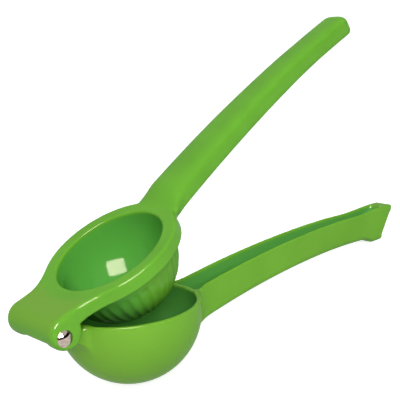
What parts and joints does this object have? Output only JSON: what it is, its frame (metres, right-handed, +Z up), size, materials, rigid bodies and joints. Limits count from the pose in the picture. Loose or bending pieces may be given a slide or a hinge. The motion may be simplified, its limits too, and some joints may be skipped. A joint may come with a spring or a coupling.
{
  "type": "hinged lemon squeezer",
  "caption": "Hand-held citrus press: a perforated cup on a channel handle, and a ribbed press bowl on a second handle, hinged beside the cup.",
  "frame": {"origin": "middle of the small flat under the cup, on the surface that the squeezer rests on", "axes": "+X from the cup towards the handle's tip, +Z up from the surface, +Y completes the right-handed frame along the hinge pin"},
  "size_m": [0.2198, 0.064, 0.1214],
  "materials": {
    "lower_enamel": "gloss",
    "upper_enamel": "gloss",
    "pin_steel": "polished"
  },
  "bodies": {
    "lower": {"lower_lever": "lower_enamel"},
    "upper": {"upper_lever": "upper_enamel", "hinge_pin": "pin_steel"}
  },
  "joints": [
    {"name": "lever_hinge", "type": "hinge", "parent": "lower", "child": "upper", "pos_m": [-0.04283, 0, 0.04341], "axis": [0, -1, 0], "range_deg": [-25.8, 70.6]}
  ]
}
